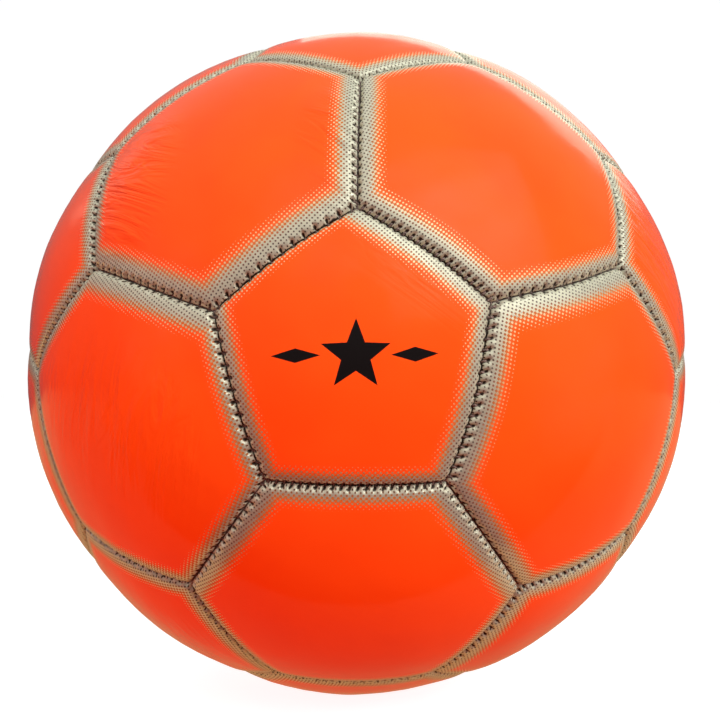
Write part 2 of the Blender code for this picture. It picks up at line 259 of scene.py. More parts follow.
class Panel:
    """A panel's directions from the ball's centre, its seams and its place in the print.

    face has the numbers of its corners. set_axes gives up and right, the axes of the sheet that
    it was cut from, and borders are the widths of the silver border along its sides.
    """

    def __init__(self, face, corners):
        self.face = face
        self.sides = len(corners)
        self.centre = unit(corners.sum(axis=0))
        self.normals = unit(np.cross(corners, np.roll(corners, -1, axis=0)))
        self.outs = unit(corners - (corners @ self.centre)[:, None] * self.centre)
        self.side_middles = unit(corners + np.roll(corners, -1, axis=0))
        self.apothem = math.acos(self.side_middles[0] @ self.centre)
        self.seams = []
        self.borders = None
        self.up = None
        self.right = None

    def ring(self, inset, per_side):
        """Directions all round the panel, at this distance from its seams."""
        sine = math.sin(inset / SURFACE_RADIUS)
        to_centre = self.normals @ self.centre
        to_corner = (self.normals * self.outs).sum(axis=1)
        phase = np.arctan2(to_corner, to_centre)
        angle = phase + np.arccos(sine / np.hypot(to_centre, to_corner))
        corner = np.cos(angle)[:, None] * self.centre + np.sin(angle)[:, None] * self.outs
        start = corner - sine * self.normals
        end = np.roll(corner, -1, axis=0) - sine * self.normals
        turn = np.arccos((unit(start) * unit(end)).sum(axis=1))[:, None]
        share = np.arange(per_side) / per_side
        first = np.sin((1 - share) * turn) / np.sin(turn)
        second = np.sin(share * turn) / np.sin(turn)
        points = first[..., None] * start[:, None] + second[..., None] * end[:, None]
        return (points + sine * self.normals[:, None]).reshape(-1, 3)

    def set_axes(self, up, turn=0.0):
        """Sets the sheet's axes: up points this way, and is then turned clockwise."""
        up = unit(up - (up @ self.centre) * self.centre)
        self.up = math.cos(turn) * up + math.sin(turn) * np.cross(up, self.centre)
        self.right = np.cross(self.up, self.centre)

    def on_sheet(self, directions):
        """Where the directions lie on the flat sheet the panel was cut from, in millimetres."""
        angle = np.arccos(np.clip(directions @ self.centre, -1, 1))
        flat = np.stack([directions @ self.right, directions @ self.up], axis=-1)
        return flat / np.maximum(np.sin(angle), 1e-9)[:, None] * (angle * SURFACE_RADIUS)[:, None]

    def seam_distances(self, directions):
        return SURFACE_RADIUS * np.arcsin(np.clip(directions @ self.normals.T, -1, 1))

    def stitch_shape(self, directions, distances):
        nearest = distances.argmin(axis=1)
        groove, hole = np.zeros(len(directions)), np.zeros(len(directions))
        for side, (seam, sign) in enumerate(self.seams):
            here = nearest == side
            shape = seam.stitch_shape(directions[here], distances[here, side], sign)
            groove[here], hole[here] = shape
        return groove, hole

    def surface(self, directions):
        """The cover's radius in these directions, and how far each is in a groove or hole."""
        distances = self.seam_distances(directions)
        nearest = distances.min(axis=1)
        softened = -CORNER_ROUNDING * np.log(np.exp(-distances / CORNER_ROUNDING).sum(axis=1))
        shoulder = 1 - np.clip(softened / SHOULDER_WIDTH, 0, 1)
        edge = 1 - np.clip(softened / ROLL_WIDTH, 0, 1)
        drop = SHOULDER_DROP * shoulder**2 + ROLL_DROP * (1 - np.sqrt(1 - edge**2))
        from_middle = np.arccos(np.clip(directions @ self.centre, -1, 1)) / self.apothem
        crown = CROWN_RADIUS - BULGE * from_middle**2
        points = directions * SURFACE_RADIUS
        uneven = SLOW_UNEVENNESS * SLOW_WAVES(points) * smoothstep(1, 8, nearest)
        uneven += QUICK_UNEVENNESS * QUICK_WAVES(points)
        groove, hole = self.stitch_shape(directions, distances)
        dents = GROOVE_DEPTH * groove + HOLE_DEPTH * hole
        return crown - drop + uneven - dents, groove, hole


def panel_pattern():
    """The corners of a truncated icosahedron and its faces, a pentagon facing -Y, corner up."""
    bm = bmesh.new()
    bmesh.ops.create_icosphere(bm, subdivisions=1, radius=1.0)
    bmesh.ops.bevel(bm, geom=bm.verts, offset=100 / 3, offset_type="PERCENT", affect="VERTICES")
    for vert in bm.verts:
        vert.co.normalize()
    front = Vector((0, -1, 0))
    pentagons = [f for f in bm.faces if len(f.verts) == 5]
    pentagon = max(pentagons, key=lambda f: f.calc_center_median().dot(front))
    to_front = pentagon.calc_center_median().rotation_difference(front).to_matrix()
    bmesh.ops.rotate(bm, verts=bm.verts, matrix=to_front)
    corner = pentagon.verts[0].co
    spin = Matrix.Rotation(-math.atan2(corner.x, corner.z), 3, "Y")
    bmesh.ops.rotate(bm, verts=bm.verts, matrix=spin)
    bmesh.ops.recalc_face_normals(bm, faces=bm.faces)
    bm.verts.index_update()
    corners = unit(np.array([v.co for v in bm.verts]))
    faces = [[v.index for v in face.verts] for face in bm.faces]
    bm.free()
    return corners, faces


def front_to_rear(panel):
    """The order of the CAD's names: from the front to the rear, and clockwise in each ring."""
    clockwise = round(math.degrees(math.atan2(panel.centre[0], panel.centre[2]))) % 360
    return round(panel.centre[1], 3), clockwise


def named_panels():
    """The panels by the names of their CAD nodes, and the seams between them."""
    corners, faces = panel_pattern()
    panels = [Panel(face, corners[face]) for face in faces]
    seams = {}
    pentagons = sorted((p for p in panels if p.sides == 5), key=front_to_rear)
    hexagons = sorted((p for p in panels if p.sides == 6), key=front_to_rear)
    named = {"printed_panel": pentagons[0], "valve_panel": pentagons[-1]}
    named.update({f"pentagon_panel_{n:02d}": p for n, p in enumerate(pentagons[1:-1], 1)})
    named.update({f"hexagon_panel_{n:02d}": p for n, p in enumerate(hexagons, 1)})
    for panel in named.values():
        for i, start in enumerate(panel.face):
            end = panel.face[(i + 1) % panel.sides]
            key = frozenset((start, end))
            if key not in seams:
                seams[key] = Seam(corners[start], corners[end])
            seam = seams[key]
            sign = -1 if seam.panels else 1
            seam.panels[sign] = panel
            panel.seams.append((seam, sign))
    return named, list(seams.values())


# ---- The print on each panel --------------------------------------------------------------

BORDER = 7.4  # width of the silver border that the cover's material draws
OUTER_BORDER = 6.4  # usual width on a panel, because the print runs on into the seams
BORDER_SPREAD = 0.5  # how unevenly the panels were cut out of the printed sheet
PRINTED_BORDERS = (7.6, 6.8, 5.6, 6.4, 3.6)  # of the printed pentagon, clockwise from upper right
# The print of the hexagons round it, in the same order: the borders on the side that faces it
# and on the next sides anticlockwise and clockwise, and the degrees from the lattice to it.
FACING_PRINTS = (
    (8.2, 7.4, 7.0, 45),
    (8.2, 8.8, 7.0, 45),
    (6.3, 7.8, 7.6, 0),
    (5.4, 5.2, 8.6, 0),
    (9.6, 8.4, 8.3, 30),
)
# How wrinkled the film on the front panels is, from 0 to 1. The others vary up to MOST_CREASED.
CREASED = {
    "printed_panel": 0.25,
    "hexagon_panel_01": 0.0,
    "hexagon_panel_02": 0.05,
    "hexagon_panel_03": 0.1,
    "hexagon_panel_04": 0.4,
    "hexagon_panel_05": 0.8,
}
MOST_CREASED = 0.5


def lay_out_print(name, panel):
    """Sets the panel's axes on its sheet and the width of the printed border on each side."""
    panel.borders = OUTER_BORDER + RNG.normal(0, BORDER_SPREAD, panel.sides)
    up = panel.side_middles[RNG.integers(panel.sides)]
    if name == "printed_panel":
        up = np.array((0.0, 0.0, 1.0))
        panel.borders[clockwise_sides(panel)] = PRINTED_BORDERS
    panel.set_axes(up)


def clockwise_sides(panel):
    """The sides of the printed panel, clockwise from its upper right one."""
    angles = [math.atan2(m[0], m[2]) % (2 * math.pi) for m in panel.side_middles]
    return np.argsort(angles)


def set_printed_seams(printed):
    """Stitches the printed panel's seams, and sets the print of the panels round it."""
    sides = clockwise_sides(printed)
    for side, stitches, prints in zip(sides, PRINTED_SEAMS, FACING_PRINTS):
        seam, sign = printed.seams[side]
        pitch, outwards, inwards, slant, seam.width, seam.sunk = stitches
        seam.set_pitch(pitch)
        seam.slant = slant * sign
        seam.reach = {sign: inwards, -sign: outwards}
        seam.pull = {sign: 0.6, -sign: 1.0}
        facing = seam.panels[-sign]
        place = facing.seams.index((seam, -sign))
        *borders, turn = prints
        facing.borders[[place, place - 1, (place + 1) % facing.sides]] = borders
        facing.set_axes(facing.side_middles[place], math.radians(turn))


# ---- The shape of a panel -----------------------------------------------------------------


class PanelMesh:
    """Collects the rings of a panel and the faces between them.

    Each ring lies on the flat sheet as well. past is how far the sheet runs on, beyond the
    place under the ring on the ball, where it turns in at a seam or at the valve.
    """

    def __init__(self, panel):
        self.panel = panel
        self.points = []
        self.flat = []
        self.sheet = []
        self.seam = []
        self.groove = []
        self.faces = []
        self.count = 0

    def add(self, directions, radius=None, past=0.0):
        """Adds a ring, on the cover's outer face if no radius is given, and gives its indices."""
        surface, groove, hole = self.panel.surface(directions)
        if radius is None:
            radius = surface
        flat = self.panel.on_sheet(directions)
        length = np.linalg.norm(flat, axis=1, keepdims=True)
        distances = self.panel.seam_distances(directions)
        self.points.append(directions * np.reshape(radius, (-1, 1)))
        self.flat.append(flat)
        self.sheet.append(flat * (1 + past / np.maximum(length, 1e-6)))
        self.seam.append(distances.min(axis=1) - max(past, 0))
        self.groove.append(np.maximum(groove, hole))
        self.count += len(directions)
        return np.arange(self.count - len(directions), self.count)

    def band(self, outer, inner):
        """Faces between two rings. The outer one may have four edges to each inner one."""
        outer_next, inner_next = np.roll(outer, -1), np.roll(inner, -1)
        if len(outer) == len(inner):
            self.faces += np.stack([outer, outer_next, inner_next, inner], axis=1).tolist()
            return
        a, b, c, d = outer.reshape(-1, 4).T
        e = outer_next.reshape(-1, 4)[:, 3]
        to_first = ((a, b, inner), (b, c, inner), (c, inner_next, inner))
        to_second = ((c, d, inner_next), (d, e, inner_next))
        for corners in to_first + to_second:
            self.faces += np.stack(corners, axis=1).tolist()

    def bands(self, rings):
        for outer, inner in zip(rings, rings[1:]):
            self.band(outer, inner)

    def fan(self, ring, middle):
        corners = [ring, np.roll(ring, -1), np.broadcast_to(middle, ring.shape)]
        self.faces += np.stack(corners, axis=1).tolist()


def circle_round(centre, directions, radius):
    """The directions this far from the centre, in line with the given ones."""
    outs = unit(directions - (directions @ centre)[:, None] * centre)
    angle = radius / SURFACE_RADIUS
    return math.cos(angle) * centre + math.sin(angle) * outs


def add_outer_face(mesh, has_valve):
    """The cover from its seams to its middle, or down the wall of the valve's hole."""
    panel = mesh.panel
    rings = [mesh.add(panel.ring(inset, FINE)) for inset in FINE_RINGS]
    rings += [mesh.add(panel.ring(inset, COARSE)) for inset in COARSE_RINGS]
    border = panel.ring(COARSE_RINGS[-1], COARSE)
    hole = NECK + VALVE_GAP
    middle = circle_round(panel.centre, border, hole + 0.5) if has_valve else panel.centre
    for share in CROWN_SHARES:
        rings.append(mesh.add(unit(border * (1 - share) + middle * share)))
    if has_valve:
        rings.append(mesh.add(middle))
        for widening, depth, past in HOLE_EDGE:
            widened = circle_round(panel.centre, border, hole + widening)
            rings.append(mesh.add(widened, CROWN_RADIUS - depth, past))
        rim = circle_round(panel.centre, border, hole)
        rings.append(mesh.add(rim, LINING_RADIUS, -1.6))
        mesh.bands(rings)
    else:
        mesh.bands(rings)
        mesh.fan(rings[-1], mesh.add(panel.centre[None])[0])
    return rings


def make_panel(name, panel, look):
    """A panel's cover, its edge that turns in at the seams, and its lining."""
    has_valve = name == "valve_panel"
    mesh = PanelMesh(panel)
    rings = add_outer_face(mesh, has_valve)
    wall = [rings[0]]
    for inset, radius, per_side, past in TURNED_IN_EDGE:
        wall.append(mesh.add(panel.ring(inset, per_side), radius, past))
    mesh.bands(wall)
    outside_faces = len(mesh.faces)
    root = mesh.add(panel.ring(SEAM_INSET + FLANGE * 1.3, COARSE), LINING_RADIUS, 6.0)
    mesh.bands([wall[-1], root])
    if has_valve:
        mesh.band(root, rings[-1])
    else:
        mesh.fan(root, mesh.add(panel.centre[None], LINING_RADIUS)[0])

    data = bpy.data.meshes.new(name + "_cover")
    points = np.concatenate(mesh.points)
    radii = np.linalg.norm(points, axis=1, keepdims=True)
    data.from_pydata((hand_sewn(points / radii) * radii * MM).tolist(), [], mesh.faces)
    sheet = np.concatenate(mesh.sheet)
    usual_creases = RNG.uniform(0, MOST_CREASED)
    distances = panel.seam_distances(unit(points))
    widened = distances * BORDER / panel.borders
    inside_border = np.where(panel.borders > BORDER, widened, distances - panel.borders + BORDER)
    add_attribute(data, "sheet_mm", np.pad(sheet, ((0, 0), (0, 1))))
    add_attribute(data, "seam_mm", np.concatenate(mesh.seam))
    # groove: how far a point is in a stitch's groove or needle hole; the cover's material paints shade
    # there
    add_attribute(data, "groove", np.concatenate(mesh.groove))
    add_attribute(data, "border_mm", inside_border.min(axis=1))
    add_attribute(data, "creased", np.full(len(points), CREASED.get(name, usual_creases)))
    lay_out_map(data, sheet, np.concatenate(mesh.flat), outside_faces)
    add_piece(name + "_cover", data, look, "cover", name)


MAP_MARGIN = 1.02
LINING_SIZE = 0.13  # of the map's side
LINING_MIDDLE = 0.07


def lay_out_map(data, sheet, flat, outside_faces):
    """A map for the surface's texture: the outer face in the middle, the lining in a corner."""
    size = np.abs(sheet).max() * 2 * MAP_MARGIN
    lining_size = np.abs(flat).max() * 2 * MAP_MARGIN / LINING_SIZE
    loops = np.empty(len(data.loops), dtype=int)
    data.loops.foreach_get("vertex_index", loops)
    starts = np.empty(len(data.polygons), dtype=int)
    data.polygons.foreach_get("loop_start", starts)
    uv = 0.5 + sheet[loops] / size
    lining = np.arange(len(loops)) >= starts[outside_faces]
    uv[lining] = LINING_MIDDLE + flat[loops[lining]] / lining_size
    data.uv_layers.new(name="OFBake").data.foreach_set("uv", uv.astype(np.float32).ravel())


def add_attribute(data, name, values):
    """Gives each vertex a number, or a vector of three."""
    kind, key = ("FLOAT_VECTOR", "vector") if values.ndim == 2 else ("FLOAT", "value")
    made = data.attributes.new(name, kind, "POINT")
    made.data.foreach_set(key, np.ascontiguousarray(values, dtype=np.float32).ravel())


def add_piece(name, data, look, slot, *nodes):
    """A piece that rides on the ball, takes the given material and replaces CAD nodes. slot is not
    used.
    """
    data.materials.append(look)
    bm = bmesh.new()
    bm.from_mesh(data)
    bmesh.ops.recalc_face_normals(bm, faces=bm.faces)
    bm.to_mesh(data)
    bm.free()
    data.shade_smooth()
    data.set_sharp_from_angle(angle=math.radians(50))
    obj = bpy.data.objects.new(name, data)
    bpy.context.scene.collection.objects.link(obj)
    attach(obj, BODY)
    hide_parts(*nodes)
    return obj


# ---- Threads ------------------------------------------------------------------------------


def tubes(paths, radius):
    """Points and faces of one closed tube for each path, and each point's place on its strand.

    A point's place is how far along the strand it is, and the cosine and sine of its angle.
    """
    count, steps = paths.shape[:2]
    paths = hand_sewn(unit(paths)) * np.linalg.norm(paths, axis=-1, keepdims=True)
    ahead = unit(np.gradient(paths, axis=1))
    out = unit(paths)
    side = unit(np.cross(ahead, out))
    up = np.cross(side, ahead)
    angle = 2 * math.pi * np.arange(THREAD_SIDES) / THREAD_SIDES
    across = np.cos(angle)[:, None] * side[:, :, None] + np.sin(angle)[:, None] * up[:, :, None]
    rings = paths[:, :, None] + radius * across
    travelled = np.linalg.norm(np.diff(paths, axis=1, prepend=paths[:, :1]), axis=2).cumsum(axis=1)
    strand = np.stack(np.broadcast_arrays(travelled[..., None], np.cos(angle), np.sin(angle)), axis=-1)
    number = np.arange(count * steps * THREAD_SIDES).reshape(count, steps, THREAD_SIDES)
    following = np.roll(number, -1, axis=2)
    quads = [number[:, :-1], number[:, 1:], following[:, 1:], following[:, :-1]]
    faces = np.stack(quads, axis=-1).reshape(-1, 4).tolist()
    faces += number[:, 0].tolist() + number[:, -1, ::-1].tolist()
    return rings.reshape(-1, 3), strand.reshape(-1, 3), faces


def stitch_paths(seam):
    """The middle line of each stitch: out of one panel's hole, over the seam, into the other's."""
    x = (np.arange(seam.count) + 0.5) * seam.pitch
    kept = (x > CORNER_GAP * 0.7) & (x < seam.length - CORNER_GAP * 0.7)
    across = np.linspace(seam.reach[1], -seam.reach[-1], STITCH_POINTS)
    places = seam.direction(x[kept, None] + seam.slant * across, across)
    radii = np.empty(places.shape[:2])
    for sign, columns in ((1, across >= 0), (-1, across < 0)):
        flat = places[:, columns].reshape(-1, 3)
        inside = seam.panels[sign].surface(flat)[0]
        radii[:, columns] = inside.reshape(len(places), -1)
    radii = np.maximum(radii + THREAD_LIFT - seam.sunk, SEAM_THREAD_RADIUS + 0.25)
    radii[:, [0, -1]] -= THREAD_DIP
    return places * radii[..., None]


def strand_path(seam):
    """The middle line of the thread that shows deep in the seam."""
    steps = round(seam.length / STRAND_STEP)
    x = np.linspace(0, seam.length, steps + 1)
    wobble = STRAND_WOBBLE * QUICK_WAVES(seam.direction(x, 0 * x) * SURFACE_RADIUS)
    return seam.direction(x, wobble) * SEAM_THREAD_RADIUS


def make_thread(node, seams, look):
    """The stitches and the strand of these seams, which stand for one CAD thread."""
    points, strands, faces = [], [], []
    first = 0
    for seam in seams:
        for paths, radius in ((stitch_paths(seam), THREAD), (strand_path(seam)[None], STRAND)):
            tube = tubes(paths, radius)
            points.append(tube[0])
            strands.append(tube[1])
            faces += [[first + i for i in face] for face in tube[2]]
            first += len(tube[0])
    data = bpy.data.meshes.new(node + "_stitches")
    data.from_pydata((np.concatenate(points) * MM).tolist(), [], faces)
    add_attribute(data, "strand", np.concatenate(strands))
    add_piece(node + "_stitches", data, look, "thread", node)


def make_threads(seams, look):
    """The seams are stitched in the same runs as in the CAD."""
    low, high = (np.array(corner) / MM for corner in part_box("closing_thread"))
    nodes = ("front_half_thread", "rear_half_thread", "joining_thread", "closing_thread")
    runs = {node: [] for node in nodes}
    for seam in seams:
        middle = unit(seam.start + seam.end) * SEAM_THREAD_RADIUS
        in_front = {panel.centre[1] < 0 for panel in seam.panels.values()}
        if len(in_front) == 2:
            closing = (middle > low - 0.5).all() and (middle < high + 0.5).all()
            runs["closing_thread" if closing else "joining_thread"].append(seam)
        else:
            runs["front_half_thread" if True in in_front else "rear_half_thread"].append(seam)
    for node, run in runs.items():
        make_thread(node, run, look)


# ---- Valve, patch and bladder -------------------------------------------------------------


def turned(name, profile, look, slot, node):
    """A closed solid turned about the Y axis. The profile is pairs of radius and y, in mm."""
    steps = VALVE_SIDES
    angles = 2 * math.pi * np.arange(steps) / steps
    points, faces, rings = [], [], []
    for radius, y in profile:
        start = len(points)
        if radius == 0:
            points.append((0, y, 0))
            rings.append([start] * steps)
        else:
            points += [(radius * math.cos(a), y, radius * math.sin(a)) for a in angles]
            rings.append(list(range(start, start + steps)))
    for first, second in zip(rings, rings[1:] + rings[:1]):
        for i in range(steps):
            j = (i + 1) % steps
            corners = list(dict.fromkeys((first[i], first[j], second[j], second[i])))
            if len(corners) > 2:
                faces.append(corners)
    data = bpy.data.meshes.new(name)
    data.from_pydata((np.array(points) * MM).tolist(), [], faces)
    return add_piece(name, data, look, slot, node)


def rounded(corners, sizes):
    """A profile with rounded corners. The sizes say how far from each corner its round starts."""
    points = []
    for i, (corner, size) in enumerate(zip(corners, sizes)):
        here = Vector(corner)
        if size == 0:
            points.append(tuple(here))
            continue
        before, after = Vector(corners[i - 1]), Vector(corners[(i + 1) % len(corners)])
        start = here + (before - here).normalized() * size
        end = here + (after - here).normalized() * size
        for t in (0, 0.25, 0.5, 0.75, 1):
            points.append(tuple(start * (1 - t) ** 2 + here * 2 * t * (1 - t) + end * t * t))
    return points


def make_valve(look):
    """The rubber seat with its flange and barrel, and the core with a funnel for the needle."""
    face = VALVE_FACE
    head, depth = HEAD_RECESS
    seat = [
        (head, face - depth),
        (head, face),
        (NECK, face),
        (NECK, 104.4),
        (FLANGE_RADIUS, 103.43),
        (FLANGE_RADIUS, 101.92),
        (BARREL_RADIUS, 102.72),
        (BARREL_RADIUS, BARREL_END),
        (CORE_BORE, BARREL_END),
        (CORE_BORE, face - depth),
    ]
    seat = rounded(seat, (0.1, 0.12, 0.3, 0.8, 0.5, 0.4, 1.2, 0.8, 0.3, 0.1))
    turned("valve_seat_rubber", seat, look, "valve", "valve_seat")
    core = [
        (0, CORE_TIP + 2.0),
        (NEEDLE_CHANNEL, CORE_TIP + 2.0),
        (NEEDLE_CHANNEL, face - 0.9),
        (1.3, face - 0.12),
        (1.75, face - 0.12),
        (1.95, face),
        (2.25, face),
        (2.4, face - 0.12),
        (CORE_HEAD, face - 0.06),
        (CORE_HEAD, face - 1.2),
        (CORE_STEM, face - 1.2),
        (CORE_STEM, CORE_TIP),
        (0, CORE_TIP),
    ]
    core = rounded(core, (0, 0.1, 0.3, 0.15, 0.06, 0.08, 0.08, 0.06, 0.2, 0.1, 0.1, 0.8, 0))
    turned("valve_core_rubber", core, look, "valve", "valve_core")


# ---- Materials ----------------------------------------------------------------------------


class Nodes:
    """Short calls for building a material's nodes."""

    def __init__(self, name):
        self.material = bpy.data.materials.new(name)
        self.material.use_nodes = True
        self.tree = self.material.node_tree
        self.shader = self.tree.nodes["Principled BSDF"]

    def add(self, kind, **settings):
        node = self.tree.nodes.new(kind)
        for key, value in settings.items():
            setattr(node, key, value)
        return node

    def link(self, source, socket):
        if isinstance(source, (int, float)):
            socket.default_value = source
        elif isinstance(source, tuple):
            socket.default_value = (*source, 1) if len(socket.default_value) == 4 else source
        else:
            self.tree.links.new(source, socket)

    def math(self, operation, *values):
        node = self.add("ShaderNodeMath", operation=operation)
        for value, socket in zip(values, node.inputs):
            self.link(value, socket)
        return node.outputs[0]

    def ramp(self, value, low, high, first=0.0, last=1.0, kind="SMOOTHSTEP"):
        """first below low, last above high, and between them in between."""
        node = self.add("ShaderNodeMapRange", interpolation_type=kind)
        for source, number in zip((value, low, high, first, last), range(5)):
            self.link(source, node.inputs[number])
        return node.outputs[0]

    def mix(self, share, first, second):
        node = self.add("ShaderNodeMix", data_type="RGBA")
        self.link(share, node.inputs["Factor"])
        self.link(first, node.inputs[6])
        self.link(second, node.inputs[7])
        return node.outputs[2]

    def noise(self, vector, scale, detail=2.0, roughness=0.5, distortion=0.0):
        node = self.add("ShaderNodeTexNoise")
        self.link(vector, node.inputs["Vector"])
        self.link(scale, node.inputs["Scale"])
        self.link(detail, node.inputs["Detail"])
        self.link(roughness, node.inputs["Roughness"])
        self.link(distortion, node.inputs["Distortion"])
        return node.outputs["Fac"]

    def attribute(self, name, output="Fac"):
        return self.add("ShaderNodeAttribute", attribute_name=name).outputs[output]

    def place(self):
        return self.add("ShaderNodeTexCoord").outputs["Object"]

    def turn(self, vector, degrees):
        node = self.add("ShaderNodeVectorRotate", rotation_type="Z_AXIS")
        self.link(vector, node.inputs["Vector"])
        self.link(math.radians(degrees), node.inputs["Angle"])
        return node.outputs[0]

    def stretch(self, vector, factors):
        node = self.add("ShaderNodeVectorMath", operation="MULTIPLY")
        self.link(vector, node.inputs[0])
        self.link(factors, node.inputs[1])
        return node.outputs[0]

    def split(self, vector):
        node = self.add("ShaderNodeSeparateXYZ")
        self.link(vector, node.inputs[0])
        return node.outputs

    def bump(self, height, strength, distance, after=None):
        node = self.add("ShaderNodeBump")
        self.link(height, node.inputs["Height"])
        self.link(strength, node.inputs["Strength"])
        self.link(distance, node.inputs["Distance"])
        if after is not None:
            self.link(after, node.inputs["Normal"])
        return node.outputs["Normal"]

    def finish(self, **sockets):
        for name, value in sockets.items():
            self.link(value, self.shader.inputs[name.replace("_", " ")])
        return self.material


ORANGE = (0.92, 0.084, 0.006)
DEEP_ORANGE = (0.88, 0.072, 0.005)
SILVER = (0.80, 0.81, 0.62)
DARK_SILVER = (0.71, 0.715, 0.545)
THIN_SILVER = (0.95, 0.78, 0.45)  # where its dots stand on the orange
DARK_INK = (0.055, 0.036, 0.022)
RED_INK = (0.42, 0.12, 0.012)
BLACK_INK = (0.006, 0.005, 0.005)
# painted shade: near-black brown laid into the seams' valleys, the stitches' grooves and the needle
# holes
SEAM_SHADE = (0.018, 0.011, 0.008)
DOT_PITCH = 0.95  # millimetres on the sheet
DOT_TURN = 45
MARK_STAR = (8.6, 3.6)  # radii of its tips and its notches
MARK_LOZENGES = (14.2, 6.0, 1.7)  # how far off the middle, half the length, half the width
WAX = ((0.11, 0.08, 0.066), (0.36, 0.27, 0.23))  # of the thread: its darkest and lightest
# painted shade in the groove between the two plies
PLY_GAP_SHADE = (0.02, 0.012, 0.009)
PLY_TWIST = 1.1  # millimetres of thread for one turn
RUBBER = (0.016, 0.016, 0.017)
RUBBER_DUST = (0.11, 0.1, 0.09)
LATEX = (0.014, 0.014, 0.015)
TALC = (0.3, 0.29, 0.28)
COTTON = ((0.56, 0.5, 0.4), (0.68, 0.64, 0.55))
# painted shade where the weave's threads dip between each other
WEAVE_GAP_SHADE = (0.3, 0.26, 0.2)
WEAVE = 0.0009  # metres from thread to thread


def dot_screen(n, sheet):
    """1 in the middle of each silver dot, 0 in the middle of each gap: a square lattice."""
    axes = n.split(n.turn(sheet, DOT_TURN))
    waves = [n.math("COSINE", n.math("MULTIPLY", axes[i], 2 * math.pi / DOT_PITCH)) for i in (0, 1)]
    return n.math("MULTIPLY_ADD", n.math("ADD", *waves), 0.25, 0.5)


def star(n, x, y, tip, notch):
    """1 inside a five-pointed star with a point up: tip and notch are its two radii."""
    sector = 2 * math.pi / 5
    angle = n.math("ADD", n.math("ARCTAN2", x, y), 4 * sector + sector / 2)
    folded = n.math("SUBTRACT", n.math("MODULO", angle, sector), sector / 2)
    radius = n.math("SQRT", n.math("ADD", n.math("MULTIPLY", x, x), n.math("MULTIPLY", y, y)))
    out = n.math("MULTIPLY", radius, n.math("COSINE", folded))
    side = n.math("ABSOLUTE", n.math("MULTIPLY", radius, n.math("SINE", folded)))
    inner = Vector((notch * math.cos(sector / 2), notch * math.sin(sector / 2)))
    edge = Vector((tip, 0)) - inner
    normal = Vector((-edge.y, edge.x)).normalized()
    across = n.math("ADD", n.math("MULTIPLY", out, normal.x), n.math("MULTIPLY", side, normal.y))
    return n.ramp(n.math("SUBTRACT", across, normal.dot(inner)), -0.06, 0.06, 1.0, 0.0)


def lozenges(n, x, y, middle, half_length, half_width):
    """1 inside two lozenges, one on each side of the sheet's middle."""
    away = n.math("ABSOLUTE", n.math("SUBTRACT", n.math("ABSOLUTE", x), middle))
    length_share = n.math("DIVIDE", away, half_length)
    width_share = n.math("DIVIDE", n.math("ABSOLUTE", y), half_width)
    return n.ramp(n.math("ADD", length_share, width_share), 0.97, 1.03, 1.0, 0.0)


